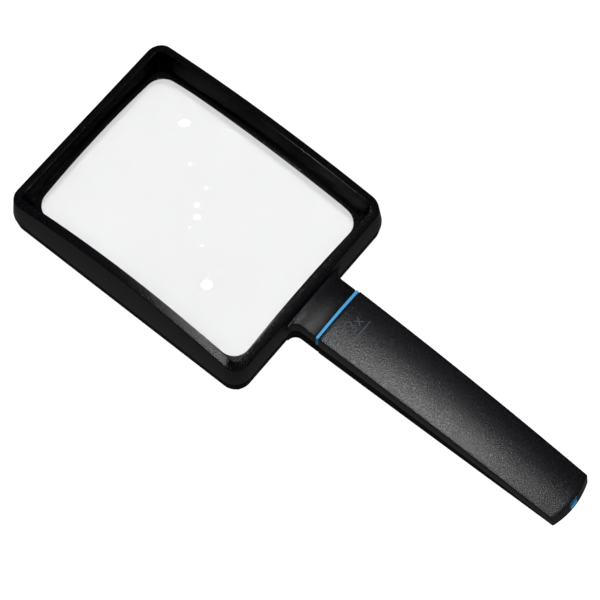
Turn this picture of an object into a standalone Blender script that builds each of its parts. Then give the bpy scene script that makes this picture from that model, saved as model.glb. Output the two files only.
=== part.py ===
"""Rectangular reading magnifier: a deep two-part frame round a domed lens, with a flat handle.

Frame of the part: +X along the handle to the tail, +Y across, +Z up.
The origin is the middle of the bounding box's bottom face, and the part lies on its underside.
"""
import math

import bmesh
import bpy
from mathutils import Vector

MM = 0.001
OBJECT_NAME = "magnifying_glass"

# ---- driving dimensions, millimetres; x is counted from the middle of the lens ----
HEAD_HALF_X = 57.8
HEAD_HALF_Y = 45.5
TAIL_X = 177.0                  # upper corners of the end face
END_X = 179.93                  # furthest point of the end face, at its lower edge
ORIGIN_X = (END_X - HEAD_HALF_X) / 2
GAP = 0.3                       # between pieces that touch

CORNER_RADIUS = 7.5             # head outline at the parting line
PARTING_Z = 7.2
WALL_DRAFT = 0.126              # inward lean of the outer wall per unit of height
BOTTOM_INSET = 0.8
RIM_END_Z = 18.1                # outer edge of the rim at both ends of the head
RIM_ARCH = 7.0                  # how much higher the rim is at mid length
RIM_WIDTH = 3.25
RIM_TILT = 1.0                  # the rim's inner edge stands this much above its outer edge
RIM_INNER_RADIUS = 2.2
EDGE_BREAK = 0.3
WALL = 1.9                      # moulded wall thickness
CAVITY_INSET = 2.8              # the hollow in the frame narrows to this under the rim
CAVITY_DROP = 4.5               # and ends this far below the rim

LENS_HALF_X = 52.2
LENS_HALF_Y = 39.2
LENS_CORNER = 5.0
LENS_TOP_Z = 17.4               # crown of the upper dome
LENS_TOP_RADIUS = 190.0
LENS_BOTTOM_Z = 0.9             # crown of the lower dome
LENS_BOTTOM_RADIUS = 600.0

VIEW_HALF_X = 50.2              # clear view inside the seal
VIEW_HALF_Y = 37.2
VIEW_CORNER = 7.0
SEAL_THICKNESS = 0.7
SEAL_LEAN = 0.2                 # how much wider the seal's opening is at its top
SEAL_OVERLAP = 0.4              # how far the seal reaches past the lens
FOOT_HALF_X = 51.9              # foot of the well's wall
FOOT_HALF_Y = 38.6
FOOT_CORNER = 4.6
FOOT_WIDTH = 1.7
SEAT_OVERLAP = 0.6              # lower frame's ledge under the lens edge
GUARD_HEIGHT = 1.4              # rib round the lens, above its seat
GUARD_WIDTH = 1.2
FLOOR_Z = 1.8                   # floor thickness of the lower mouldings

COLLAR_X = 67.8                 # front face of the blue collar
COLLAR_THICK = 1.2
COLLAR_PROUD = 0.15             # how far the collar stands above the neck's sides
COLLAR_TOP_PROUD = 0.2
COLLAR_CHAMFER = 0.4
NECK_HALF_Y = 12.1
NECK_TOP_Z = 13.9
NECK_CROWN = 0.8                # how much higher its middle is than its edges
NECK_FILLET = 3.6
NECK_ROOT = 2.6                 # the neck starts this far inside the head's outline
NECK_SINK = 0.4                 # its fillet starts this far inside the outline
HANDLE_X = COLLAR_X + COLLAR_THICK + GAP

HANDLE_HALF_FRONT = 12.4
HANDLE_HALF_MID = 11.7
HANDLE_HALF_TAIL = 10.8
HANDLE_TOP_FRONT = 14.4
HANDLE_TOP_MID = 12.2
HANDLE_TOP_TAIL = 6.5
SPLIT_FRONT = 7.0               # parting line of the two handle shells
SPLIT_MID = 5.6
SPLIT_TAIL = 1.3
HANDLE_CROWN = 0.8
HANDLE_BASE_BREAK = 0.5
TAIL_BULGE = 1.8                # the end face is a shallow arc in plan
TAIL_LEAN = 0.185               # and leans outward towards its foot, per unit of height
TAIL_LEAN_POWER = 8             # how sharply the lean fades away from the end
SHELL = 1.8
SHELL_END = 2.0                 # thickness of the end wall at its corners

TANG_HALF_Y = 6.0
TANG_HALF_Z = 1.2
TANG_START_X = 59.5
TANG_END_X = 104.0
CORE_HALF_Y = 8.2
CORE_LOW_FRONT = 3.0            # underside of the core at the collar and at the tail
CORE_LOW_TAIL = 2.1
CORE_COVER = 1.2                # clear space between the core and the upper shell
CORE_END_X = 172.0
TIP_HALF_Y = 1.9
TIP_LOW_Z = 0.6
TIP_HIGH_Z = 6.6
TIP_SLOT_X = 169.0
DISH_RADIUS = 5.0
DISH_X = 183.6                  # centre of the ball that hollows the end face
DISH_Z = 4.4

SCREW_SHANK = 1.0
SCREW_HEAD = 1.9
SCREW_HEAD_H = 1.3
SCREW_RECESS = 1.0              # screw heads sit this far above the underside
SCREW_CROSS = 1.1               # half length of the cross recess in a head
SCREW_CROSS_HALF = 0.22
SCREW_CROSS_DEPTH = 0.7
UPPER_BOSS = 2.3
LOWER_BOSS = 2.9
BOSS_LOW_Z = 1.0
FRAME_BOSS_TOP = 5.0
FRAME_SCREW_TOP = 11.5
NECK_SCREW_TOP = 11.0
PILOT_EXTRA = 1.5               # pilot holes go this much deeper than the screws
FRAME_SCREW_INSET_X = 4.4
FRAME_SCREW_INSET_Y = 4.8
NECK_SCREW_X = 63.5
HANDLE_SCREW_X = (84.0, 148.0)
THROUGH_Z = 16.0                # above every piece of the handle

BODY_STEPS = 22
HOLLOW_STEPS = 14
TIP_STEPS = 4
CORNER_STEPS = 6
LONG_STEPS = 14
SHORT_STEPS = 8


def collection(name):
    col = bpy.data.collections.new(name)
    bpy.context.scene.collection.children.link(col)
    return col


def clear_scene():
    for obj in list(bpy.data.objects):
        bpy.data.objects.remove(obj)


def plastic(name, color, roughness, metallic=0.0, transmission=0.0):
    mat = bpy.data.materials.new(name)
    mat.use_nodes = True
    shader = mat.node_tree.nodes["Principled BSDF"]
    shader.inputs["Base Color"].default_value = (*color, 1.0)
    shader.inputs["Roughness"].default_value = roughness
    shader.inputs["Metallic"].default_value = metallic
    shader.inputs["Transmission Weight"].default_value = transmission
    return mat


def make_object(name, bm, col, mat=None):
    """Turn a bmesh in millimetres into an object in metres, at the part's origin."""
    bmesh.ops.recalc_face_normals(bm, faces=bm.faces)
    shift = Vector((ORIGIN_X, 0.0, 0.0))
    for vert in bm.verts:
        vert.co = (vert.co - shift) * MM
    mesh = bpy.data.meshes.new(name)
    bm.to_mesh(mesh)
    bm.free()
    obj = bpy.data.objects.new(name, mesh)
    col.objects.link(obj)
    if mat:
        mesh.materials.append(mat)
    return obj


def make_cutter(name, bm):
    obj = make_object(name, bm, CUTTERS)
    obj.hide_render = True
    obj.display_type = "WIRE"
    return obj


def boolean(obj, tool, operation):
    mod = obj.modifiers.new(tool.name, "BOOLEAN")
    mod.operation = operation
    mod.solver = "EXACT"
    mod.object = tool


def bridge_loops(bm, loops, closed):
    """Join equal loops of vertices; a closed set makes a ring with no caps."""
    count = len(loops[0])
    pairs = list(zip(loops, loops[1:]))
    if closed:
        pairs.append((loops[-1], loops[0]))
    for lower, upper in pairs:
        for i in range(count):
            j = (i + 1) % count
            bm.faces.new((lower[i], lower[j], upper[j], upper[i]))


def outline(half_x, half_y, radius):
    """Points of a rounded rectangle, counter-clockwise, the same count at every size."""
    corners = (
        (half_x - radius, -half_y + radius, -90.0, LONG_STEPS),
        (half_x - radius, half_y - radius, 0.0, SHORT_STEPS),
        (-half_x + radius, half_y - radius, 90.0, LONG_STEPS),
        (-half_x + radius, -half_y + radius, 180.0, SHORT_STEPS),
    )
    points = []
    for cx, cy, start, side_steps in corners:
        first = Vector((cx + radius * math.cos(math.radians(start)),
                        cy + radius * math.sin(math.radians(start))))
        if points:
            points += side_points(points[-1], first, side_steps)
        for k in range(CORNER_STEPS + 1):
            angle = math.radians(start + 90.0 * k / CORNER_STEPS)
            points.append(Vector((cx + radius * math.cos(angle), cy + radius * math.sin(angle))))
    points += side_points(points[-1], points[0], LONG_STEPS)
    return points


def side_points(start, end, steps):
    return [start.lerp(end, k / steps) for k in range(1, steps)]


def ring_loop(bm, half_x, half_y, radius, height):
    """One loop of a frame ring; height is a number or a function of the plan position."""
    verts = []
    for p in outline(half_x, half_y, radius):
        z = height(p) if callable(height) else height
        verts.append(bm.verts.new((p.x, p.y, z)))
    return verts


def rim_z(x):
    """Height of the rim's outer edge: a long arch, highest over the middle of the lens."""
    return RIM_END_Z + RIM_ARCH * (1.0 - min(1.0, (x / HEAD_HALF_X) ** 2))


def dome_top(p):
    return LENS_TOP_Z - (p.x ** 2 + p.y ** 2) / (2 * LENS_TOP_RADIUS)


def dome_bottom(p):
    return LENS_BOTTOM_Z + (p.x ** 2 + p.y ** 2) / (2 * LENS_BOTTOM_RADIUS)


def wall_loop(bm, depth, drop):
    """Loop that follows the drafted outer wall, depth inside it and drop below the rim."""
    verts = []
    for p in outline(HEAD_HALF_X, HEAD_HALF_Y, CORNER_RADIUS):
        z = rim_z(p.x) - drop
        inset = WALL_DRAFT * (z - PARTING_Z) + depth
        radius = max(CORNER_RADIUS - inset, RIM_INNER_RADIUS)
        q = moved_inward(p, inset, radius)
        verts.append(bm.verts.new((q.x, q.y, z)))
    return verts


def moved_inward(p, inset, radius):
    """Where outline point p lands on the rounded rectangle that is inset smaller."""
    half = Vector((HEAD_HALF_X, HEAD_HALF_Y))
    core = half - Vector((CORNER_RADIUS, CORNER_RADIUS))
    new_core = half - Vector((inset + radius, inset + radius))
    out = []
    for axis in range(2):
        away = abs(p[axis]) - core[axis]
        if away > 0.0:
            value = new_core[axis] + away * radius / CORNER_RADIUS
        else:
            value = abs(p[axis]) * new_core[axis] / core[axis]
        out.append(math.copysign(value, p[axis]))
    return Vector(out)


def section_loft(sections):
    """Solid through cross-sections, each a row of low points and a row of high points."""
    bm = bmesh.new()
    rows = []
    for low, high in sections:
        low_verts = [bm.verts.new(p) for p in low]
        high_verts = [bm.verts.new(p) for p in high]
        rows.append(low_verts + high_verts[::-1])
    count = len(sections[0][0])
    for first, second in zip(rows, rows[1:]):
        for i in range(2 * count):
            j = (i + 1) % (2 * count)
            bm.faces.new((first[i], first[j], second[j], second[i]))
    for row in (rows[0], rows[-1]):
        for i in range(count - 1):
            bm.faces.new((row[i], row[i + 1], row[-2 - i], row[-1 - i]))
    return bm


def column_loft(stations):
    """Solid through rows of columns (x, y, low z, high z), the same number in each row."""
    sections = []
    for columns in stations:
        low = [(x, y, z0) for x, y, z0, z1 in columns]
        high = [(x, y, z1) for x, y, z0, z1 in columns]
        sections.append((low, high))
    return section_loft(sections)


def box(x0, x1, y0, y1, z0, z1):
    """Plain block between two corners."""
    return column_loft([[(x, y0, z0, z1), (x, y1, z0, z1)] for x in (x0, x1)])


def rod(x, y, radius, z0, z1, segments=20):
    """Upright cylinder."""
    bm = bmesh.new()
    bmesh.ops.create_cone(bm, cap_ends=True, segments=segments, radius1=radius,
                          radius2=radius, depth=z1 - z0)
    bmesh.ops.translate(bm, verts=bm.verts, vec=(x, y, (z0 + z1) / 2))
    return bm


def along(t, front, middle, tail):
    """Smooth value along the handle through its front, middle and tail sizes."""
    return (front * (1 - t) * (1 - 2 * t) + 4 * middle * t * (1 - t)
            + tail * t * (2 * t - 1))


def handle_t(x):
    return (x - HANDLE_X) / (TAIL_X - HANDLE_X)


def handle_half(x):
    return along(handle_t(x), HANDLE_HALF_FRONT, HANDLE_HALF_MID, HANDLE_HALF_TAIL)


def handle_top(x):
    return along(handle_t(x), HANDLE_TOP_FRONT, HANDLE_TOP_MID, HANDLE_TOP_TAIL)


def handle_split(x):
    return along(handle_t(x), SPLIT_FRONT, SPLIT_MID, SPLIT_TAIL)


def tail_shift(x, fraction, z):
    """How far a point moves aft so that the end face bulges in plan and leans outward."""
    t = max(0.0, handle_t(x))
    bulge = TAIL_BULGE * t ** 3 * (1 - fraction ** 2)
    lean = TAIL_LEAN * t ** TAIL_LEAN_POWER * (HANDLE_TOP_TAIL - z)
    return bulge + lean


def handle_solid(x0, x1, steps, low, high, inset=0.0, crown=0.0, low_break=0.0, high_break=0.0):
    """Solid along the handle between the heights low(x) and high(x)."""
    edge = max(low_break, high_break, EDGE_BREAK)
    sections = []
    for k in range(steps + 1):
        x = x0 + (x1 - x0) * k / steps
        half = handle_half(x) - inset
        spread = [-half, edge - half]
        spread += [half * share for share in (-0.6, -0.2, 0.2, 0.6)]
        spread += [half - edge, half]
        low_row = []
        high_row = []
        for i, y in enumerate(spread):
            outer = i in (0, len(spread) - 1)
            fraction = y / half
            z0 = low(x) + (low_break if outer else 0.0)
            z1 = high(x) + crown * (1 - fraction ** 2) - (high_break if outer else 0.0)
            low_row.append((x + tail_shift(x, fraction, z0), y, z0))
            high_row.append((x + tail_shift(x, fraction, z1), y, z1))
        sections.append((low_row, high_row))
    return section_loft(sections)


# ---- head -------------------------------------------------------------------

def head_neck(z0, z1, half_y, end_x, crown=0.0):
    """Stub of one frame half that reaches back to end_x, flared where it leaves the head."""
    root_x = HEAD_HALF_X - NECK_ROOT
    wall_x = HEAD_HALF_X - NECK_SINK
    xs = [root_x, wall_x]
    for degrees in (15, 30, 45, 60, 75, 90):
        xs.append(wall_x + NECK_FILLET * (1 - math.cos(math.radians(degrees))))
    xs.append(end_x)
    rows = []
    for x in xs:
        reach = max(0.0, min(NECK_FILLET, NECK_FILLET - (x - wall_x)))
        flare = NECK_FILLET - math.sqrt(max(0.0, NECK_FILLET ** 2 - reach ** 2))
        half = half_y + flare
        columns = []
        for fraction in (-1.0, -0.75, -0.5, -0.25, 0.0, 0.25, 0.5, 0.75, 1.0):
            columns.append((x, half * fraction, z0, z1 + crown * (1 - fraction ** 2)))
        rows.append(columns)
    return column_loft(rows)


def foot_z(p):
    """Underside of the well's foot, which follows the lens's dome."""
    return dome_top(p) + SEAL_THICKNESS + 2 * GAP


def seat_z(p):
    return dome_bottom(p) - GAP


def guard_z(p):
    return seat_z(p) + GUARD_HEIGHT


def make_upper_frame(mat):
    bm = bmesh.new()
    bottom = PARTING_Z + GAP / 2
    rim_inner = RIM_WIDTH + EDGE_BREAK / 2
    loops = [
        ring_loop(bm, HEAD_HALF_X, HEAD_HALF_Y, CORNER_RADIUS, bottom),
        wall_loop(bm, 0.0, EDGE_BREAK),
        wall_loop(bm, EDGE_BREAK, 0.0),
        wall_loop(bm, RIM_WIDTH - EDGE_BREAK / 2, -RIM_TILT),
        wall_loop(bm, rim_inner, -RIM_TILT + EDGE_BREAK),
        ring_loop(bm, FOOT_HALF_X, FOOT_HALF_Y, FOOT_CORNER, foot_z),
        ring_loop(bm, FOOT_HALF_X + FOOT_WIDTH, FOOT_HALF_Y + FOOT_WIDTH, FOOT_CORNER + 1, foot_z),
        wall_loop(bm, CAVITY_INSET, CAVITY_DROP),
        wall_loop(bm, WALL, CAVITY_DROP),
        ring_loop(bm, HEAD_HALF_X - WALL, HEAD_HALF_Y - WALL, CORNER_RADIUS - WALL, bottom),
    ]
    bridge_loops(bm, loops, closed=True)
    frame = make_object("upper_frame", bm, PARTS, mat)
    neck = make_cutter("upper_neck", head_neck(bottom, NECK_TOP_Z, NECK_HALF_Y, COLLAR_X - GAP,
                                              NECK_CROWN))
    boolean(frame, neck, "UNION")
    for i, (x, y) in enumerate(FRAME_SCREWS):
        boss = make_cutter(f"upper_boss_{i + 1}", rod(x, y, UPPER_BOSS, bottom, rim_z(x) - WALL))
        boolean(frame, boss, "UNION")
        pilot = rod(x, y, SCREW_SHANK + GAP, 0.0, FRAME_SCREW_TOP + PILOT_EXTRA)
        boolean(frame, make_cutter(f"upper_pilot_{i + 1}", pilot), "DIFFERENCE")
    boolean(frame, make_cutter("upper_tang_pocket", tang_pocket(COLLAR_X)), "DIFFERENCE")
    pilot = rod(NECK_SCREW_X, 0.0, SCREW_SHANK + GAP, 0.0, NECK_SCREW_TOP + PILOT_EXTRA)
    boolean(frame, make_cutter("upper_neck_pilot", pilot), "DIFFERENCE")
    return frame


def tang_pocket(end_x):
    """Room for the steel bar, open at the collar."""
    return box(TANG_START_X - GAP, end_x, -TANG_HALF_Y - GAP, TANG_HALF_Y + GAP,
               PARTING_Z - TANG_HALF_Z - GAP, PARTING_Z + TANG_HALF_Z + GAP)


def inset_loop(bm, inset, height):
    """Loop inside the head's outline at the parting line."""
    return ring_loop(bm, HEAD_HALF_X - inset, HEAD_HALF_Y - inset, CORNER_RADIUS - inset, height)


def lens_loop(bm, outset, height):
    """Loop round the lens's outline."""
    return ring_loop(bm, LENS_HALF_X + outset, LENS_HALF_Y + outset, LENS_CORNER + outset, height)


def make_lower_frame(mat):
    bm = bmesh.new()
    top = PARTING_Z - GAP / 2
    loops = [
        inset_loop(bm, BOTTOM_INSET + EDGE_BREAK, 0.0),
        inset_loop(bm, BOTTOM_INSET, EDGE_BREAK),
        inset_loop(bm, 0.0, top),
        inset_loop(bm, WALL, top),
        inset_loop(bm, WALL + EDGE_BREAK, FLOOR_Z),
        lens_loop(bm, GAP + GUARD_WIDTH + EDGE_BREAK / 2, FLOOR_Z),
        lens_loop(bm, GAP + GUARD_WIDTH, guard_z),
        lens_loop(bm, GAP, guard_z),
        lens_loop(bm, GAP, seat_z),
        lens_loop(bm, -SEAT_OVERLAP, seat_z),
        lens_loop(bm, EDGE_BREAK - SEAT_OVERLAP, 0.0),
    ]
    bridge_loops(bm, loops, closed=True)
    frame = make_object("lower_frame", bm, PARTS, mat)
    neck = make_cutter("lower_neck", head_neck(0.0, top, NECK_HALF_Y, HANDLE_X - GAP))
    boolean(frame, neck, "UNION")
    for i, (x, y) in enumerate(FRAME_SCREWS):
        boss = rod(x, y, LOWER_BOSS, BOSS_LOW_Z, FRAME_BOSS_TOP)
        boolean(frame, make_cutter(f"lower_boss_{i + 1}", boss), "UNION")
        cut_screw_hole(frame, f"lower_hole_{i + 1}", x, y)
    boolean(frame, make_cutter("lower_tang_pocket", tang_pocket(HANDLE_X)), "DIFFERENCE")
    cut_screw_hole(frame, "lower_neck_hole", NECK_SCREW_X, 0.0)
    return frame


def cut_screw_hole(obj, name, x, y):
    """Clearance hole for a screw from below, with a counterbore for its head."""
    shank = make_cutter(name, rod(x, y, SCREW_SHANK + GAP, -1.0, THROUGH_Z))
    boolean(obj, shank, "DIFFERENCE")
    head_top = SCREW_RECESS + SCREW_HEAD_H + GAP
    head = make_cutter(name + "_head", rod(x, y, SCREW_HEAD + GAP, -1.0, head_top, 24))
    boolean(obj, head, "DIFFERENCE")


def make_lens(mat):
    """Biconvex slab: two domes over one rounded outline, joined by an upright edge."""
    bm = bmesh.new()
    rings = (1.0, 0.8, 0.6, 0.4, 0.2)
    loops = []
    for surface, scales in ((dome_bottom, rings[::-1]), (dome_top, rings)):
        for s in scales:
            loops.append(ring_loop(bm, LENS_HALF_X * s, LENS_HALF_Y * s, LENS_CORNER * s, surface))
    bridge_loops(bm, loops, closed=False)
    for loop, z in ((loops[0], LENS_BOTTOM_Z), (loops[-1], LENS_TOP_Z)):
        centre = bm.verts.new((0.0, 0.0, z))
        for i, vert in enumerate(loop):
            bm.faces.new((vert, loop[(i + 1) % len(loop)], centre))
    return make_object("lens", bm, PARTS, mat)


def seal_under_z(p):
    return dome_top(p) + GAP


def seal_over_z(p):
    return seal_under_z(p) + SEAL_THICKNESS


def make_seal(mat):
    """Thin ring on the lens edge, under the foot of the well's wall."""
    bm = bmesh.new()
    loops = [
        lens_loop(bm, SEAL_OVERLAP, seal_under_z),
        lens_loop(bm, SEAL_OVERLAP, seal_over_z),
        ring_loop(bm, VIEW_HALF_X + SEAL_LEAN, VIEW_HALF_Y + SEAL_LEAN, VIEW_CORNER, seal_over_z),
        ring_loop(bm, VIEW_HALF_X, VIEW_HALF_Y, VIEW_CORNER, seal_under_z),
    ]
    bridge_loops(bm, loops, closed=True)
    return make_object("lens_seal", bm, PARTS, mat)


# ---- handle -----------------------------------------------------------------

def dish_cutter(name):
    """Ball that hollows the middle of the handle's end face."""
    bm = bmesh.new()
    bmesh.ops.create_uvsphere(bm, u_segments=32, v_segments=20, radius=DISH_RADIUS)
    bmesh.ops.translate(bm, verts=bm.verts, vec=(DISH_X, 0.0, DISH_Z))
    return make_cutter(name, bm)


def upper_split(x):
    return handle_split(x) + GAP / 2


def lower_split(x):
    return handle_split(x) - GAP / 2


def past_split(x):
    """A height that a hollow reaches so that it opens at the parting line."""
    return handle_split(x) + SHELL


def short_of_split(x):
    return handle_split(x) - SHELL


def underside(x):
    return 0.0


def shell_floor(x):
    return SHELL


def shell_ceiling(x):
    return handle_top(x) - SHELL


def shell_hollow(name, low, high):
    """Inside of one handle shell, open towards the collar."""
    bm = handle_solid(HANDLE_X - SHELL, TAIL_X - SHELL_END, HOLLOW_STEPS, low, high, inset=SHELL)
    return make_cutter(name, bm)


def tip_slot(name):
    """Room for the blue tip in the middle of the end wall."""
    bm = box(TIP_SLOT_X, DISH_X, -TIP_HALF_Y - GAP, TIP_HALF_Y + GAP, TIP_LOW_Z - GAP,
             TIP_HIGH_Z + GAP)
    return make_cutter(name, bm)


def make_upper_shell(mat):
    body = handle_solid(HANDLE_X, TAIL_X, BODY_STEPS, upper_split, handle_top,
                        crown=HANDLE_CROWN, high_break=EDGE_BREAK)
    shell = make_object("handle_upper_shell", body, PARTS, mat)
    hollow = shell_hollow("upper_shell_hollow", short_of_split, shell_ceiling)
    boolean(shell, hollow, "DIFFERENCE")
    for i, x in enumerate(HANDLE_SCREW_X):
        boss = rod(x, 0.0, UPPER_BOSS, core_high(x) + GAP, handle_top(x))
        boolean(shell, make_cutter(f"upper_shell_boss_{i + 1}", boss), "UNION")
        pilot = rod(x, 0.0, SCREW_SHANK + GAP, 0.0, screw_top(x) + GAP)
        boolean(shell, make_cutter(f"upper_shell_pilot_{i + 1}", pilot), "DIFFERENCE")
    boolean(shell, tip_slot("upper_shell_tip_slot"), "DIFFERENCE")
    boolean(shell, dish_cutter("upper_shell_dish"), "DIFFERENCE")
    return shell


def make_lower_shell(mat):
    body = handle_solid(HANDLE_X, TAIL_X, BODY_STEPS, underside, lower_split,
                        low_break=HANDLE_BASE_BREAK)
    shell = make_object("handle_lower_shell", body, PARTS, mat)
    boolean(shell, shell_hollow("lower_shell_hollow", shell_floor, past_split), "DIFFERENCE")
    for i, x in enumerate(HANDLE_SCREW_X):
        boss = rod(x, 0.0, LOWER_BOSS, BOSS_LOW_Z, core_low(x) - GAP)
        boolean(shell, make_cutter(f"lower_shell_boss_{i + 1}", boss), "UNION")
        cut_screw_hole(shell, f"lower_shell_hole_{i + 1}", x, 0.0)
    boolean(shell, tip_slot("lower_shell_tip_slot"), "DIFFERENCE")
    boolean(shell, dish_cutter("lower_shell_dish"), "DIFFERENCE")
    return shell


def core_low(x):
    return CORE_LOW_FRONT + (CORE_LOW_TAIL - CORE_LOW_FRONT) * handle_t(x)


def core_high(x):
    return shell_ceiling(x) - CORE_COVER


def screw_top(x):
    return handle_top(x) - SHELL


def core_collar():
    """Band above the parting line between the neck and the handle, chamfered along its edges."""
    half = NECK_HALF_Y + COLLAR_PROUD
    base = PARTING_Z + GAP / 2
    high = NECK_TOP_Z + COLLAR_TOP_PROUD
    columns = []
    shoulder = half - COLLAR_CHAMFER
    for y in (-half, -shoulder, -half / 2, 0.0, half / 2, shoulder, half):
        chamfer = COLLAR_CHAMFER if abs(y) == half else 0.0
        crown = NECK_CROWN * (1 - (y / half) ** 2)
        columns.append((y, base + chamfer, high + crown - chamfer))
    rows = []
    for x in (COLLAR_X, COLLAR_X + COLLAR_THICK):
        rows.append([(x, y, z0, z1) for y, z0, z1 in columns])
    return make_cutter("core_collar", column_loft(rows))


def make_core(mat):
    """Blue spine of the handle: its collar shows at the neck and its tip shows at the tail."""
    start_x = COLLAR_X + COLLAR_THICK / 2
    rows = []
    for k in range(HOLLOW_STEPS):
        x = start_x + (CORE_END_X - start_x) * k / (HOLLOW_STEPS - 1)
        half = min(CORE_HALF_Y, handle_half(x) - SHELL - 1.0)
        rows.append([(x, y, core_low(x), core_high(x)) for y in (-half, 0.0, half)])
    core = make_object("handle_core", column_loft(rows), PARTS, mat)
    step = box(COLLAR_X, HANDLE_X, -CORE_HALF_Y - GAP, CORE_HALF_Y + GAP, 0.0, PARTING_Z + GAP / 2)
    boolean(core, make_cutter("core_step", step), "DIFFERENCE")
    boolean(core, core_collar(), "UNION")
    tip = box(CORE_END_X - 1.0, DISH_X - 1.0, -TIP_HALF_Y, TIP_HALF_Y, TIP_LOW_Z, TIP_HIGH_Z)
    tip = make_cutter("core_tip", tip)
    around = handle_solid(TIP_SLOT_X, TAIL_X, TIP_STEPS, underside, handle_top, crown=HANDLE_CROWN)
    boolean(tip, make_cutter("core_tip_limit", around), "INTERSECT")
    boolean(core, tip, "UNION")
    boolean(core, dish_cutter("core_dish"), "DIFFERENCE")
    boolean(core, make_cutter("core_tang_pocket", tang_pocket(TANG_END_X + GAP)), "DIFFERENCE")
    for i, x in enumerate(HANDLE_SCREW_X):
        hole = rod(x, 0.0, SCREW_SHANK + GAP, -1.0, THROUGH_Z)
        boolean(core, make_cutter(f"core_hole_{i + 1}", hole), "DIFFERENCE")
    return core


def make_tang(mat):
    """Flat steel bar clamped in the neck and held in the handle's core."""
    block = box(TANG_START_X, TANG_END_X, -TANG_HALF_Y, TANG_HALF_Y,
                PARTING_Z - TANG_HALF_Z, PARTING_Z + TANG_HALF_Z)
    tang = make_object("neck_tang", block, PARTS, mat)
    for i, x in enumerate((NECK_SCREW_X, HANDLE_SCREW_X[0])):
        hole = rod(x, 0.0, SCREW_SHANK + GAP, 0.0, THROUGH_Z)
        boolean(tang, make_cutter(f"tang_hole_{i + 1}", hole), "DIFFERENCE")
    return tang


def make_screw(name, x, y, top, mat):
    """Pan-head screw driven from below, with a cross recess in its head."""
    shank = rod(x, y, SCREW_SHANK, SCREW_RECESS + SCREW_HEAD_H / 2, top, 16)
    screw = make_object(name, shank, PARTS, mat)
    head = rod(x, y, SCREW_HEAD, SCREW_RECESS, SCREW_RECESS + SCREW_HEAD_H, 24)
    boolean(screw, make_cutter(name + "_head", head), "UNION")
    arms = (("slot_x", SCREW_CROSS, SCREW_CROSS_HALF), ("slot_y", SCREW_CROSS_HALF, SCREW_CROSS))
    for suffix, dx, dy in arms:
        slot = box(x - dx, x + dx, y - dy, y + dy, 0.0, SCREW_RECESS + SCREW_CROSS_DEPTH)
        boolean(screw, make_cutter(f"{name}_{suffix}", slot), "DIFFERENCE")
    return screw


def screw_sites():
    sites = []
    for sx in (-1, 1):
        for sy in (-1, 1):
            sites.append((sx * (HEAD_HALF_X - FRAME_SCREW_INSET_X),
                          sy * (HEAD_HALF_Y - FRAME_SCREW_INSET_Y)))
    return sites


def build():
    black = plastic("black_plastic", (0.012, 0.012, 0.013), 0.45)
    dark = plastic("black_lower", (0.01, 0.01, 0.011), 0.4)
    blue = plastic("blue_plastic", (0.1, 0.4, 0.68), 0.4)
    clear = plastic("clear_acrylic", (0.97, 0.98, 0.98), 0.02, transmission=1.0)
    seal = plastic("black_seal", (0.015, 0.015, 0.016), 0.3)
    steel = plastic("steel", (0.55, 0.55, 0.56), 0.3, metallic=1.0)
    make_lens(clear)
    make_seal(seal)
    make_upper_frame(black)
    make_lower_frame(dark)
    make_tang(steel)
    make_core(blue)
    make_upper_shell(black)
    make_lower_shell(dark)
    for i, (x, y) in enumerate(FRAME_SCREWS):
        make_screw(f"frame_screw_{i + 1}", x, y, FRAME_SCREW_TOP, steel)
    make_screw("neck_screw", NECK_SCREW_X, 0.0, NECK_SCREW_TOP, steel)
    for i, x in enumerate(HANDLE_SCREW_X):
        make_screw(f"handle_screw_{i + 1}", x, 0.0, screw_top(x), steel)


clear_scene()
PARTS = collection(OBJECT_NAME)
CUTTERS = collection("cutters")
FRAME_SCREWS = screw_sites()
build()
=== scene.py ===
"""Looks for a rectangular reading magnifier: moulded black frame, domed clear lens, flat grained handle.

Lengths are millimetres counted from the middle of the lens, as in the CAD model, and each mesh is
put into the row frame in metres when it is made.
"""

import math

import bmesh
import bpy
import numpy as np
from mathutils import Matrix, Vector


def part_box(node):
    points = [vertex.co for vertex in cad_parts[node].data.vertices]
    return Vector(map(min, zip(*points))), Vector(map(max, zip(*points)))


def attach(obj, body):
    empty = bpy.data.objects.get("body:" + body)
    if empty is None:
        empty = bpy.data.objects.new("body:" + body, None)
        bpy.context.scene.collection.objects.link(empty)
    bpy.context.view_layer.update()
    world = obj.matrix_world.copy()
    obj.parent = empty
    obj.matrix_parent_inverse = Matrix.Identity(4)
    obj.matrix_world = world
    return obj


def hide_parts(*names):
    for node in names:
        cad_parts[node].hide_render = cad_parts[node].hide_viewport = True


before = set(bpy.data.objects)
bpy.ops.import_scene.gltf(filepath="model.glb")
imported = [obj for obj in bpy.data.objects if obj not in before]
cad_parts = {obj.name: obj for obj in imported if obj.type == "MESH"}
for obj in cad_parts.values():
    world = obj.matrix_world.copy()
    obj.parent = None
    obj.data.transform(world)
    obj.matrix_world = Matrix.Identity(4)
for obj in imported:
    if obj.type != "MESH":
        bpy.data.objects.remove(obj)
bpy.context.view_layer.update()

MM = 0.001
LENS_LOW, LENS_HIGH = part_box("lens")
HEAD_LOW, HEAD_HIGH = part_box("lower_frame")
SHELL_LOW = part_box("handle_upper_shell")[0]
ORIGIN = Vector(((LENS_LOW.x + LENS_HIGH.x) / 2, 0.0, 0.0))

# ---- main sizes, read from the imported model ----
HEAD_HALF_X = (ORIGIN.x - HEAD_LOW.x) / MM
HEAD_HALF_Y = HEAD_HIGH.y / MM
LENS_HALF_X = (LENS_HIGH.x - ORIGIN.x) / MM
LENS_HALF_Y = LENS_HIGH.y / MM
HANDLE_X = (SHELL_LOW.x - ORIGIN.x) / MM

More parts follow.
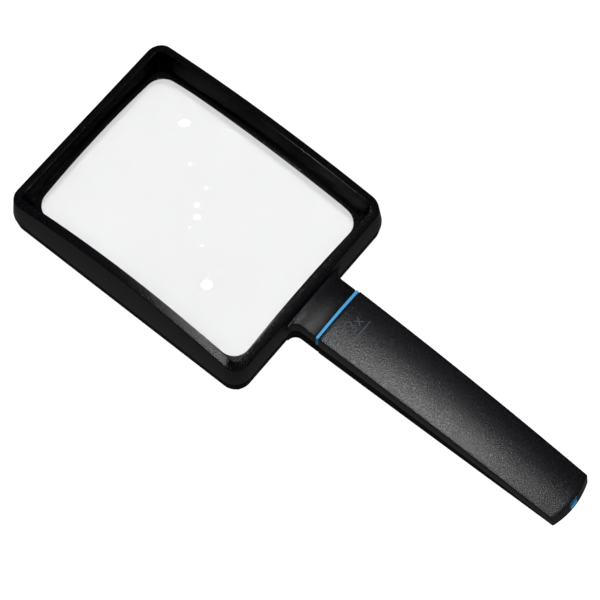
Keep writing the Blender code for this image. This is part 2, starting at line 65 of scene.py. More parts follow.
# ---- driving dimensions shared with the CAD model ----
TAIL_X = 176.97                  # 0.03 short of the CAD model, to stay inside its box
GAP = 0.3
CORNER_RADIUS = 7.5
PARTING_Z = 7.2
WALL_DRAFT = 0.126
BOTTOM_INSET = 0.8
BOTTOM_RADIUS = 0.6
BASE_WALL_DRAFT = 0.4
RIM_END_Z = 18.1
RIM_ARCH = 7.0
RIM_WIDTH = 3.25
RIM_TILT = 1.0
RIM_INNER_RADIUS = 2.2
WALL = 1.9
HOLLOW_DEPTH = 2.8              # top of the hollow between the outer wall and the well
HOLLOW_DROP = 4.5
LENS_CORNER = 5.0
LENS_TOP_Z = 17.4
LENS_TOP_RADIUS = 190.0
LENS_BOTTOM_Z = 0.9
LENS_BOTTOM_RADIUS = 600.0
LENS_EDGE = 0.25
VIEW_HALF_X = 50.2
VIEW_HALF_Y = 37.2
VIEW_CORNER = 7.0
SEAL_THICKNESS = 0.7
SEAL_REACH = 0.4                # beyond the edge of the lens
SEAL_LIP = 0.3
SEAL_UNDER_LIP = 0.1
FOOT_HALF_X = 51.9
FOOT_HALF_Y = 38.6
FOOT_CORNER = 4.6
FOOT_WIDTH = 1.7
SEAT_OVERLAP = 0.6
LEDGE_CORNER = 4.0              # opening under the lens
LEDGE_DRAFT = 0.3
LEDGE_RADIUS = 0.2
LEDGE_LOW_RADIUS = 0.3
GUARD_HEIGHT = 1.4              # wall that keeps the lens in place sideways
GUARD_THICK = 1.2
GUARD_FOOT = 1.3
BASE_FLOOR_Z = 1.8
COLLAR_X = 67.8
COLLAR_THICK = 1.2
COLLAR_PROUD = 0.15
COLLAR_TOP_PROUD = 0.2
COLLAR_EDGE = 0.12
COLLAR_RADIUS = 0.25
NECK_HALF_Y = 12.1
NECK_TOP_Z = 13.9
NECK_CROWN = 0.8
NECK_FILLET = 3.6
NECK_ROOT_INSET = 2.6           # the neck starts this far inside the head
NECK_WALL_INSET = 0.4
NECK_END_RADIUS = 0.25
NECK_END_STEP = 0.08
NECK_BASE_EDGE = 0.2
HANDLE_HALF = (12.4, 11.7, 10.8)
HANDLE_TOP = (14.4, 12.2, 6.5)
HANDLE_SPLIT = (7.0, 5.6, 1.3)
HANDLE_CROWN = 0.8
TAIL_BULGE = 1.8
TAIL_LEAN = 0.185
TAIL_LEAN_POWER = 8
HANDLE_FRONT_RADIUS = 0.2
HANDLE_TAIL_RADIUS = 0.3
HANDLE_BASE_RADIUS = 0.5
SHELL = 1.8
SHELL_END = 2.0
TIP_HALF_Y = 1.9
TIP_LOW_Z = 0.6
TIP_HIGH_Z = 6.6
TIP_SLOT_X = 169.0
TIP_END_X = 182.6
TIP_OVERLAP = 1.0
CORE_END_X = 172.0
CORE_HALF_Y = 8.2
CORE_SIDE_GAP = 1.0
CORE_LOW = (3.0, 2.55, 2.1)
CORE_COVER = 1.2
TANG_START_X = 59.5
TANG_END_X = 104.0
TANG_HALF_Y = 6.0
TANG_HALF_Z = 1.2
DISH_RADIUS = 5.0
DISH_X = 183.6
DISH_Z = 4.4
SCREW_CLEAR = 1.3
SCREW_HEAD_CLEAR = 2.2
SCREW_HEAD_TOP = 2.6
SCREW_BOSS = 2.9
UPPER_BOSS = 2.3
BOSS_LOW_Z = 1.0
BOSS_TOP_Z = 5.0
FRAME_SCREW_INSET = (4.4, 4.8)
FRAME_SCREW_END = 13.0
NECK_PILOT_END = 12.5
NECK_SCREW_X = 63.5
HANDLE_SCREW_X = (84.0, 148.0)

# ---- generic mark on the handle ----
MARK_X = 78.0                   # foot of the figures
MARK_Y = -2.4
MARK_WIDTH = 0.32
MARK_HEIGHT = 0.04

# ---- edge radii of the mouldings ----
LIP_RADIUS = 0.45
CREASE_RADIUS = 0.35
RIM_EDGE_RADIUS = 0.3
FOOT_RADIUS = 0.25
ARC_STEPS = 4

# ---- mesh density ----
CORNER_STEPS = 14
LONG_STEPS = 64
SHORT_STEPS = 44
LENS_RINGS = 30
LENS_FIRST_RING = 0.04          # share of the lens taken by the innermost ring
NECK_COLUMNS = 20
NECK_FILLET_STEPS = 13
HANDLE_STATIONS = 90
HANDLE_COLUMNS = 26
BAR_STATIONS = 16
ROD_STEP = 7.5                  # degrees
QUARTER = np.radians(np.linspace(0.0, 90.0, 5))
SHARP_EDGE = 0.02               # radius of an edge that has none
GRAIN_MARGIN = 0.05             # the neck's grain starts this far above the crease
BELOW_ALL = -1.0                # cutters for holes start here
SMOOTH_ANGLE = math.radians(32.0)


# ---- mesh helpers ------------------------------------------------------------

def object_from(name, verts, faces, zones, materials):
    """Object in the row frame from vertices in lens millimetres."""
    mesh = bpy.data.meshes.new(name)
    co = np.asarray(verts, float) * MM + np.array(ORIGIN)
    mesh.from_pydata(co.tolist(), [], faces)
    for mat in materials:
        mesh.materials.append(mat)
    mesh.polygons.foreach_set("material_index", zones)
    mesh.polygons.foreach_set("use_smooth", [True] * len(faces))
    mesh.update()
    obj = bpy.data.objects.new(name, mesh)
    bpy.context.scene.collection.objects.link(obj)
    make_consistent(obj)
    obj.data.set_sharp_from_angle(angle=SMOOTH_ANGLE)
    return obj


def make_consistent(obj):
    bm = bmesh.new()
    bm.from_mesh(obj.data)
    bmesh.ops.recalc_face_normals(bm, faces=bm.faces)
    bm.to_mesh(obj.data)
    bm.free()


def soften(loops):
    """Rounds the loops that have a radius. A loop is (points, radius, zone of the band after it)."""
    out = []
    count = len(loops)
    for k, (points, radius, zone) in enumerate(loops):
        if not radius:
            out.append((points, zone))
            continue
        before = loops[k - 1]
        after = loops[(k + 1) % count]
        start = toward(points, before[0], radius)
        end = toward(points, after[0], radius)
        for s in range(ARC_STEPS + 1):
            t = s / ARC_STEPS
            arc = (1 - t) ** 2 * start + 2 * t * (1 - t) * points + t * t * end
            band = before[2] if t < 0.5 else zone
            out.append((arc, band))
    return out


def toward(points, others, distance):
    delta = others - points
    length = np.linalg.norm(delta, axis=1, keepdims=True)
    step = np.minimum(distance, 0.45 * length)
    return points + delta * step / np.maximum(length, 1e-9)


def ring_mesh(loops, closed=True, cap_start=None, cap_end=None):
    """Vertices, faces and zones for loops of equal length; a cap is its centre point."""
    count = len(loops[0][0])
    verts = np.concatenate([points for points, zone in loops])
    faces = []
    zones = []
    bands = len(loops) if closed else len(loops) - 1
    for k in range(bands):
        lower = k * count
        upper = ((k + 1) % len(loops)) * count
        for i in range(count):
            j = (i + 1) % count
            faces.append((lower + i, lower + j, upper + j, upper + i))
            zones.append(loops[k][1])
    for cap, base in ((cap_start, 0), (cap_end, (len(loops) - 1) * count)):
        if cap is None:
            continue
        verts = np.vstack([verts, cap])
        for i in range(count):
            faces.append((base + i, base + (i + 1) % count, len(verts) - 1))
            zones.append(loops[-1][1])
    return verts, faces, zones


def cut(obj, tool, operation="DIFFERENCE"):
    """Exact boolean, applied to the mesh, after which the tool is removed."""
    mod = obj.modifiers.new("cut", "BOOLEAN")
    mod.operation = operation
    mod.solver = "EXACT"
    mod.object = tool
    graph = bpy.context.evaluated_depsgraph_get()
    mesh = bpy.data.meshes.new_from_object(obj.evaluated_get(graph), depsgraph=graph)
    obj.modifiers.clear()
    old = obj.data
    obj.data = mesh
    bpy.data.meshes.remove(old)
    bpy.data.objects.remove(tool)
    obj.data.polygons.foreach_set("use_smooth", [True] * len(obj.data.polygons))
    obj.data.set_sharp_from_angle(angle=SMOOTH_ANGLE)


# ---- outlines ----------------------------------------------------------------

def outline(half_x, half_y, radius):
    """Rounded rectangle in plan, counter-clockwise, the same count at every size."""
    corners = (
        (half_x - radius, -half_y + radius, -90.0, LONG_STEPS),
        (half_x - radius, half_y - radius, 0.0, SHORT_STEPS),
        (-half_x + radius, half_y - radius, 90.0, LONG_STEPS),
        (-half_x + radius, -half_y + radius, 180.0, SHORT_STEPS),
    )
    points = []
    for cx, cy, start, side_steps in corners:
        angles = np.radians(start + 90.0 * np.arange(CORNER_STEPS + 1) / CORNER_STEPS)
        arc = np.stack([cx + radius * np.cos(angles), cy + radius * np.sin(angles)], axis=1)
        if points:
            points.append(between(points[-1][-1], arc[0], side_steps))
        points.append(arc)
    points.append(between(points[-1][-1], points[0][0], LONG_STEPS))
    return np.concatenate(points)


def between(start, end, steps):
    t = np.arange(1, steps)[:, None] / steps
    return start * (1 - t) + end * t


def raised(plan, height):
    """Points of a plan at a height, which may be a function of the plan."""
    z = height(plan) if callable(height) else np.full(len(plan), float(height))
    return np.column_stack([plan, z])


def ring(half_x, half_y, radius, height):
    return raised(outline(half_x, half_y, radius), height)


def dome_top(plan):
    return LENS_TOP_Z - (plan ** 2).sum(axis=1) / (2 * LENS_TOP_RADIUS)


def dome_bottom(plan):
    return LENS_BOTTOM_Z + (plan ** 2).sum(axis=1) / (2 * LENS_BOTTOM_RADIUS)


def foot_height(plan):
    return dome_top(plan) + SEAL_THICKNESS + 2 * GAP


def seat_height(plan):
    return dome_bottom(plan) - GAP


def guard_height(plan):
    return seat_height(plan) + GUARD_HEIGHT


def seal_under(plan):
    return dome_top(plan) + GAP


def seal_over(plan):
    return seal_under(plan) + SEAL_THICKNESS


def rim_z(x):
    return RIM_END_Z + RIM_ARCH * (1.0 - np.minimum(1.0, (x / HEAD_HALF_X) ** 2))


def wall_loop(depth, drop):
    """Loop on the drafted outer wall, depth inside it and drop below the rim."""
    plan = outline(HEAD_HALF_X, HEAD_HALF_Y, CORNER_RADIUS)
    z = rim_z(plan[:, 0]) - drop
    inset = WALL_DRAFT * (z - PARTING_Z) + depth
    radius = np.maximum(CORNER_RADIUS - inset, RIM_INNER_RADIUS)
    half = np.array([HEAD_HALF_X, HEAD_HALF_Y])
    core = half - CORNER_RADIUS
    new_core = half - (inset + radius)[:, None]
    away = np.abs(plan) - core
    value = np.where(away > 0.0, new_core + away * radius[:, None] / CORNER_RADIUS,
                     np.abs(plan) * new_core / core)
    return np.column_stack([np.copysign(value, plan), z])


def along(t, sizes):
    front, middle, tail = sizes
    return front * (1 - t) * (1 - 2 * t) + 4 * middle * t * (1 - t) + tail * t * (2 * t - 1)


def handle_size(x, sizes):
    return along((x - HANDLE_X) / (TAIL_X - HANDLE_X), sizes)


# ---- materials ---------------------------------------------------------------

def node_material(name):
    mat = bpy.data.materials.new(name)
    mat.use_nodes = True
    nodes = mat.node_tree.nodes
    shader = nodes["Principled BSDF"]
    return mat, nodes, mat.node_tree.links, shader


def noise(nodes, links, coords, scale, detail=2.0, roughness=0.5):
    tex = nodes.new("ShaderNodeTexNoise")
    tex.inputs["Scale"].default_value = scale
    tex.inputs["Detail"].default_value = detail
    tex.inputs["Roughness"].default_value = roughness
    links.new(coords, tex.inputs["Vector"])
    return tex.outputs["Fac"]


def remap(nodes, links, value, low, high, out_low, out_high):
    node = nodes.new("ShaderNodeMapRange")
    node.inputs["From Min"].default_value = low
    node.inputs["From Max"].default_value = high
    node.inputs["To Min"].default_value = out_low
    node.inputs["To Max"].default_value = out_high
    links.new(value, node.inputs["Value"])
    return node.outputs["Result"]


def tinted(nodes, links, value, dark, light):
    node = nodes.new("ShaderNodeMix")
    node.data_type = "RGBA"
    node.inputs["A"].default_value = (*dark, 1.0)
    node.inputs["B"].default_value = (*light, 1.0)
    links.new(value, node.inputs["Factor"])
    return node.outputs["Result"]


def moulded(name, dark, light, rough, specular, grain, depth, rough_spread=0.05):
    """Moulded plastic: base colour, roughness and relief all follow noise at the mould's grain."""
    mat, nodes, links, shader = node_material(name)
    coords = nodes.new("ShaderNodeTexCoord").outputs["Object"]
    fine = noise(nodes, links, coords, grain, 2.0, 0.6)
    pits = remap(nodes, links, fine, 0.42, 0.66, 0.0, 1.0)
    links.new(tinted(nodes, links, pits, dark, light), shader.inputs["Base Color"])
    links.new(remap(nodes, links, fine, 0.35, 0.65, rough + rough_spread, rough - rough_spread),
              shader.inputs["Roughness"])
    shader.inputs["Specular IOR Level"].default_value = specular
    bump = nodes.new("ShaderNodeBump")
    bump.inputs["Strength"].default_value = 1.0
    bump.inputs["Distance"].default_value = depth
    links.new(fine, bump.inputs["Height"])
    links.new(bump.outputs["Normal"], shader.inputs["Normal"])
    return mat


def clear_acrylic(name):
    """Clear lens; lamps shine through it, so the floor under it stays lit."""
    mat, nodes, links, shader = node_material(name)
    shader.inputs["Transmission Weight"].default_value = 1.0
    shader.inputs["IOR"].default_value = 1.49
    shader.inputs["Roughness"].default_value = 0.0
    coords = nodes.new("ShaderNodeTexCoord").outputs["Object"]
    haze = noise(nodes, links, coords, 25.0, 1.0)
    links.new(tinted(nodes, links, haze, (0.972, 0.975, 0.978), (0.98, 0.982, 0.985)),
              shader.inputs["Base Color"])
    clear = nodes.new("ShaderNodeBsdfTransparent")
    clear.inputs["Color"].default_value = (0.96, 0.96, 0.96, 1.0)
    path = nodes.new("ShaderNodeLightPath")
    mix = nodes.new("ShaderNodeMixShader")
    output = nodes["Material Output"]
    links.new(path.outputs["Is Shadow Ray"], mix.inputs["Fac"])
    links.new(shader.outputs["BSDF"], mix.inputs[1])
    links.new(clear.outputs["BSDF"], mix.inputs[2])
    links.new(mix.outputs["Shader"], output.inputs["Surface"])
    return mat


def brushed_steel(name):
    mat, nodes, links, shader = node_material(name)
    coords = nodes.new("ShaderNodeTexCoord").outputs["Object"]
    stretch = nodes.new("ShaderNodeMapping")
    stretch.inputs["Scale"].default_value = (1.0, 14.0, 1.0)
    links.new(coords, stretch.inputs["Vector"])
    streaks = noise(nodes, links, stretch.outputs["Vector"], 900.0, 3.0)
    links.new(tinted(nodes, links, streaks, (0.42, 0.42, 0.43), (0.62, 0.62, 0.63)),
              shader.inputs["Base Color"])
    links.new(remap(nodes, links, streaks, 0.3, 0.7, 0.22, 0.4), shader.inputs["Roughness"])
    shader.inputs["Metallic"].default_value = 1.0
    return mat


# ---- head --------------------------------------------------------------------

RIM, WALLS, WELL, NECK = 0, 1, 2, 3


def neck_tool(name, z0, z1, end_x, edge, materials, crown=0.0):
    """Stub between the head and the collar, with a fillet in plan where it leaves the head."""
    root_x = HEAD_HALF_X - NECK_ROOT_INSET
    wall_x = HEAD_HALF_X - NECK_WALL_INSET
    angles = np.radians(np.linspace(0.0, 90.0, NECK_FILLET_STEPS))
    xs = np.concatenate([[root_x], wall_x + NECK_FILLET * (1 - np.cos(angles)),
                         [end_x - NECK_END_RADIUS, end_x - NECK_END_STEP, end_x]])
    loops = []
    for x in xs:
        reach = min(NECK_FILLET, max(0.0, NECK_FILLET - (x - wall_x)))
        flare = NECK_FILLET - math.sqrt(NECK_FILLET ** 2 - reach ** 2)
        half = NECK_HALF_Y + flare
        into_end = max(0.0, x - end_x + NECK_END_RADIUS) / NECK_END_RADIUS
        shrink = NECK_END_RADIUS * (1 - math.sqrt(max(0.0, 1 - into_end ** 2)))
        loops.append((neck_section(x, half - shrink, z0, z1 - shrink, edge, crown), 0))
    start = loops[0][0].mean(axis=0)
    end = loops[-1][0].mean(axis=0)
    verts, faces, zones = ring_mesh(loops, closed=False, cap_start=start, cap_end=end)
    zones = neck_zones(verts, faces, z1 - edge)
    return object_from(name, verts, faces, zones, materials)


def neck_section(x, half, z0, z1, edge, crown):
    """Cross-section with rounded upper edges and a crowned top, as a loop of points at x."""
    right = [(half - edge + edge * math.cos(a), z1 - edge + edge * math.sin(a)) for a in QUARTER]
    top = [(y, z1) for y in np.linspace(half - edge, -half + edge, NECK_COLUMNS)[1:-1]]
    left = [(-y, z) for y, z in right[::-1]]
    raised_top = [(y, z + crown * (1 - (y / half) ** 2)) for y, z in right + top + left]
    base = [(y, z0) for y in np.linspace(-half, half, NECK_COLUMNS)]
    return np.array([(x, y, z) for y, z in raised_top + base])


def neck_zones(verts, faces, crease_z):
    """Grain with painted shade on top of the neck and plain wall elsewhere."""
    zones = []
    for face in faces:
        low = min(verts[i][2] for i in face)
        zones.append(NECK if low > crease_z + GRAIN_MARGIN else WALLS)
    return zones


def make_upper_frame(materials):
    bottom = PARTING_Z + GAP / 2
    loops = [
        (ring(HEAD_HALF_X, HEAD_HALF_Y, CORNER_RADIUS, bottom), LIP_RADIUS, WALLS),
        (wall_loop(0.0, 0.0), CREASE_RADIUS, RIM),
        (wall_loop(RIM_WIDTH, -RIM_TILT), RIM_EDGE_RADIUS, WELL),
        (ring(FOOT_HALF_X, FOOT_HALF_Y, FOOT_CORNER, foot_height), FOOT_RADIUS, WELL),
        (ring(FOOT_HALF_X + FOOT_WIDTH, FOOT_HALF_Y + FOOT_WIDTH, FOOT_CORNER + 1, foot_height), 0, WALLS),
        (wall_loop(HOLLOW_DEPTH, HOLLOW_DROP), 0, WALLS),
        (ring(HEAD_HALF_X - WALL, HEAD_HALF_Y - WALL, CORNER_RADIUS - WALL, bottom), 0, WALLS),
    ]
    verts, faces, zones = ring_mesh(soften(loops))
    piece = object_from("frame_top_moulding", verts, faces, zones, materials)
    neck = neck_tool("neck_top", bottom, NECK_TOP_Z, COLLAR_X - GAP, CREASE_RADIUS, materials, NECK_CROWN)
    cut(piece, neck, "UNION")
    for x, y in frame_screws():
        pilot_hole(piece, x, y, FRAME_SCREW_END)
    cut(piece, tang_pocket(COLLAR_X))
    pilot_hole(piece, NECK_SCREW_X, 0.0, NECK_PILOT_END)
    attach(piece, "root")
    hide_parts("upper_frame")


def make_lower_frame(materials):
    top = PARTING_Z - GAP / 2
    ledge_x, ledge_y = LENS_HALF_X - SEAT_OVERLAP, LENS_HALF_Y - SEAT_OVERLAP
    inner_x, inner_y = LENS_HALF_X + GAP, LENS_HALF_Y + GAP
    wall_x, wall_y = HEAD_HALF_X - WALL, HEAD_HALF_Y - WALL
    loops = [
        (ring(HEAD_HALF_X - BOTTOM_INSET, HEAD_HALF_Y - BOTTOM_INSET, CORNER_RADIUS - BOTTOM_INSET, 0.0),
         BOTTOM_RADIUS, 0),
        (ring(HEAD_HALF_X, HEAD_HALF_Y, CORNER_RADIUS, top), CREASE_RADIUS, 0),
        (ring(wall_x, wall_y, CORNER_RADIUS - WALL, top), 0, 0),
        (ring(wall_x - BASE_WALL_DRAFT, wall_y - BASE_WALL_DRAFT, CORNER_RADIUS - WALL, BASE_FLOOR_Z), 0, 0),
        (ring(inner_x + GUARD_FOOT, inner_y + GUARD_FOOT, LENS_CORNER + GUARD_FOOT, BASE_FLOOR_Z), 0, 0),
        (ring(inner_x + GUARD_THICK, inner_y + GUARD_THICK, LENS_CORNER + GUARD_THICK, guard_height), 0, 0),
        (ring(inner_x, inner_y, LENS_CORNER, guard_height), 0, 0),
        (ring(inner_x, inner_y, LENS_CORNER, seat_height), 0, 0),
        (ring(ledge_x, ledge_y, LEDGE_CORNER, seat_height), LEDGE_RADIUS, 0),
        (ring(ledge_x + LEDGE_DRAFT, ledge_y + LEDGE_DRAFT, LEDGE_CORNER, 0.0), LEDGE_LOW_RADIUS, 0),
    ]
    verts, faces, zones = ring_mesh(soften(loops))
    piece = object_from("frame_base_moulding", verts, faces, zones, materials)
    neck = neck_tool("neck_base", 0.0, top, HANDLE_X - GAP, NECK_BASE_EDGE, materials)
    cut(piece, neck, "UNION")
    for x, y in frame_screws():
        cut(piece, rod("boss", x, y, SCREW_BOSS, BOSS_LOW_Z, BOSS_TOP_Z), "UNION")
        screw_hole(piece, x, y)
    cut(piece, tang_pocket(HANDLE_X))
    screw_hole(piece, NECK_SCREW_X, 0.0)
    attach(piece, "root")
    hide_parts("lower_frame")


def make_lens(mat):
    loops = []
    scales = np.linspace(LENS_FIRST_RING, 1.0, LENS_RINGS)
    for s in scales[:-1]:
        loops.append((ring(LENS_HALF_X * s, LENS_HALF_Y * s, LENS_CORNER * s, dome_bottom), 0, 0))
    loops.append((ring(LENS_HALF_X, LENS_HALF_Y, LENS_CORNER, dome_bottom), LENS_EDGE, 0))
    loops.append((ring(LENS_HALF_X, LENS_HALF_Y, LENS_CORNER, dome_top), LENS_EDGE, 0))
    for s in scales[::-1][1:]:
        loops.append((ring(LENS_HALF_X * s, LENS_HALF_Y * s, LENS_CORNER * s, dome_top), 0, 0))
    verts, faces, zones = ring_mesh(soften(loops), closed=False, cap_start=(0, 0, LENS_BOTTOM_Z),
                                    cap_end=(0, 0, LENS_TOP_Z))
    piece = object_from("lens_body", verts, faces, zones, [mat])
    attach(piece, "root")
    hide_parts("lens")


def make_seal(mat):
    outer_x, outer_y = LENS_HALF_X + SEAL_REACH, LENS_HALF_Y + SEAL_REACH
    loops = [
        (ring(outer_x, outer_y, LENS_CORNER, seal_under), 0, 0),
        (ring(outer_x, outer_y, LENS_CORNER, seal_over), 0, 0),
        (ring(VIEW_HALF_X, VIEW_HALF_Y, VIEW_CORNER, seal_over), SEAL_LIP, 0),
        (ring(VIEW_HALF_X, VIEW_HALF_Y, VIEW_CORNER, seal_under), SEAL_UNDER_LIP, 0),
    ]
    verts, faces, zones = ring_mesh(soften(loops))
    piece = object_from("lens_seal_ring", verts, faces, zones, [mat])
    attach(piece, "root")
    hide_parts("lens_seal")


# ---- handle ------------------------------------------------------------------

def handle_stations(front_radius, tail_radius):
    """x along the handle and how far the section shrinks there, which rounds both end edges."""
    front = [(HANDLE_X + front_radius * (1 - math.sin(a)), front_radius * (1 - math.cos(a)))
             for a in QUARTER[::-1]]
    inner = np.linspace(HANDLE_X + front_radius, TAIL_X - tail_radius, HANDLE_STATIONS)[1:-1]
    middle = [(x, 0.0) for x in inner]
    tail = [(TAIL_X - tail_radius * (1 - math.sin(a)), tail_radius * (1 - math.cos(a)))
            for a in QUARTER]
    return front + middle + tail


def handle_body(name, low, high, crown, low_edge, high_edge, materials, top_zone, side_zone):
    """Solid along the handle between the heights low(x) and high(x)."""
    hi = max(high_edge, SHARP_EDGE)
    lo = max(low_edge, SHARP_EDGE)
    loops = []
    for x, shrink in handle_stations(HANDLE_FRONT_RADIUS, HANDLE_TAIL_RADIUS):
        half = handle_size(x, HANDLE_HALF) - shrink
        z0 = low(x) + (shrink if low_edge else 0.0)
        z1 = high(x) - (shrink if high_edge else 0.0)
        section = []
        kinds = []
        for a in QUARTER:
            section.append((half - hi + hi * math.cos(a), z1 - hi + hi * math.sin(a)))
            kinds.append(top_zone)
        for y in np.linspace(half - hi, -half + hi, HANDLE_COLUMNS)[1:-1]:
            section.append((y, z1))
            kinds.append(top_zone)
        for a in QUARTER[::-1]:
            section.append((-half + hi - hi * math.cos(a), z1 - hi + hi * math.sin(a)))
            kinds.append(side_zone if a == QUARTER[0] else top_zone)
        for a in QUARTER:
            section.append((-half + lo - lo * math.cos(a), z0 + lo - lo * math.sin(a)))
            kinds.append(side_zone)
        for y in np.linspace(-half + lo, half - lo, HANDLE_COLUMNS)[1:-1]:
            section.append((y, z0))
            kinds.append(side_zone)
        for a in QUARTER[::-1]:
            section.append((half - lo + lo * math.cos(a), z0 + lo - lo * math.sin(a)))
            kinds.append(side_zone)
        t = (x - HANDLE_X) / (TAIL_X - HANDLE_X)
        points = []
        for y, z in section:
            fraction = y / half
            if z > (z0 + z1) / 2:
                z += crown * (1 - fraction ** 2)
            aft = TAIL_BULGE * t ** 3 * (1 - fraction ** 2)
            aft += TAIL_LEAN * t ** TAIL_LEAN_POWER * (HANDLE_TOP[2] - z)
            points.append((x + aft, y, z))
        loops.append((np.array(points), 0))
    verts, faces, zones = ring_mesh(loops, closed=False)
    count = len(loops[0][0])
    zones = [kinds[i % count] for i in range(len(faces))]
    for base in (0, (len(loops) - 1) * count):
        end_faces, end_zones = section_cap(base, count, side_zone)
        faces += end_faces
        zones += end_zones
    return object_from(name, verts, faces, zones, materials)


def section_cap(base, count, zone):
    """End face as strips between the top run and the bottom run of a section."""
    half = count // 2
    top = [base + i for i in range(half)]
    bottom = [base + count - 1 - i for i in range(half)]
    faces = [(top[i], top[i + 1], bottom[i + 1], bottom[i]) for i in range(half - 1)]
    return faces, [zone] * len(faces)


def block(name, x0, x1, y0, y1, z0, z1):
    corners = [(x, y, z) for x in (x0, x1) for y in (y0, y1) for z in (z0, z1)]
    faces = [(0, 1, 3, 2), (4, 6, 7, 5), (0, 4, 5, 1), (2, 3, 7, 6), (0, 2, 6, 4), (1, 5, 7, 3)]
    return object_from(name, corners, faces, [0] * 6, [])


def ball(name, centre, radius):
    bm = bmesh.new()
    bmesh.ops.create_uvsphere(bm, u_segments=96, v_segments=64, radius=radius)
    verts = [tuple(Vector(centre) + v.co) for v in bm.verts]
    faces = [tuple(v.index for v in f.verts) for f in bm.faces]
    bm.free()
    return object_from(name, verts, faces, [0] * len(faces), [])


def rod(name, x, y, radius, z0, z1):
    angles = np.radians(np.arange(0.0, 360.0, ROD_STEP))
    circle = [(x + radius * math.cos(a), y + radius * math.sin(a)) for a in angles]
    loops = [(np.array([(px, py, z) for px, py in circle]), 0) for z in (z0, z1)]
    verts, faces, zones = ring_mesh(loops, closed=False, cap_start=(x, y, z0), cap_end=(x, y, z1))
    return object_from(name, verts, faces, zones, [])


def screw_hole(piece, x, y):
    """Clearance hole from below with a counterbore for the screw's head."""
    cut(piece, rod("shank", x, y, SCREW_CLEAR, BELOW_ALL, RIM_END_Z))
    cut(piece, rod("head", x, y, SCREW_HEAD_CLEAR, BELOW_ALL, SCREW_HEAD_TOP))


def pilot_hole(piece, x, y, end_z):
    cut(piece, rod("pilot", x, y, SCREW_CLEAR, 0.0, end_z))


def tang_pocket(end_x):
    """Room for the steel bar between the neck and the blue core."""
    reach = TANG_HALF_Z + GAP
    return block("pocket", TANG_START_X - GAP, end_x, -TANG_HALF_Y - GAP, TANG_HALF_Y + GAP,
                 PARTING_Z - reach, PARTING_Z + reach)


def bar(name, x0, x1, half, low, high, materials=()):
    """Long body of rectangular section whose sides follow functions of x."""
    loops = []
    for x in np.linspace(x0, x1, BAR_STATIONS):
        y, z0, z1 = half(x), low(x), high(x)
        loops.append((np.array([(x, -y, z0), (x, y, z0), (x, y, z1), (x, -y, z1)]), 0))
    start = loops[0][0].mean(axis=0)
    end = loops[-1][0].mean(axis=0)
    verts, faces, zones = ring_mesh(loops, closed=False, cap_start=start, cap_end=end)
    return object_from(name, verts, faces, zones, materials)


def handle_top(x):
    return handle_size(x, HANDLE_TOP)


def lifted(rise):
    """Height function of the handle's parting line, raised by rise."""
    return lambda x: handle_size(x, HANDLE_SPLIT) + rise


def level(z):
    return lambda x: z


def shell_top(x):
    return handle_top(x) - SHELL


def shell_side(x):
    return handle_size(x, HANDLE_HALF) - SHELL


def core_low(x):
    return handle_size(x, CORE_LOW)


def core_side(x):
    return min(CORE_HALF_Y, shell_side(x) - CORE_SIDE_GAP)


def core_high(x):
    return shell_top(x) - CORE_COVER


def frame_screws():
    inset_x, inset_y = FRAME_SCREW_INSET
    return [(sx * (HEAD_HALF_X - inset_x), sy * (HEAD_HALF_Y - inset_y)) for sx in (-1, 1) for sy in (-1, 1)]


def dish():
    return ball("dish", (DISH_X, 0.0, DISH_Z), DISH_RADIUS)


def tip_slot():
    return block("slot", TIP_SLOT_X, DISH_X, -TIP_HALF_Y - GAP / 2, TIP_HALF_Y + GAP / 2,
                 TIP_LOW_Z - GAP, TIP_HIGH_Z + GAP)


def make_handle_top(materials):
    piece = handle_body("handle_top_moulding", lifted(GAP / 2), handle_top, HANDLE_CROWN, 0.0, CREASE_RADIUS,
                        materials, 0, 1)
    hollow = bar("hollow", HANDLE_X - SHELL, TAIL_X - SHELL_END, shell_side, lifted(-SHELL), shell_top)
    cut(piece, hollow)
    for x in HANDLE_SCREW_X:
        cut(piece, rod("boss", x, 0.0, UPPER_BOSS, core_high(x) + GAP, handle_top(x)), "UNION")
        pilot_hole(piece, x, 0.0, shell_top(x) + GAP)
    cut(piece, tip_slot())
    cut(piece, dish())
    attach(piece, "root")
    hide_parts("handle_upper_shell")


def make_handle_base(materials):
    piece = handle_body("handle_base_moulding", level(0.0), lifted(-GAP / 2), 0.0, HANDLE_BASE_RADIUS, 0.0,
                        materials, 0, 0)
    hollow = bar("hollow", HANDLE_X - SHELL, TAIL_X - SHELL_END, shell_side, level(SHELL), lifted(SHELL))
    cut(piece, hollow)
    for x in HANDLE_SCREW_X:
        cut(piece, rod("boss", x, 0.0, SCREW_BOSS, BOSS_LOW_Z, core_low(x) - GAP), "UNION")
        screw_hole(piece, x, 0.0)
    cut(piece, tip_slot())
    cut(piece, dish())
    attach(piece, "root")
    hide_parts("handle_lower_shell")


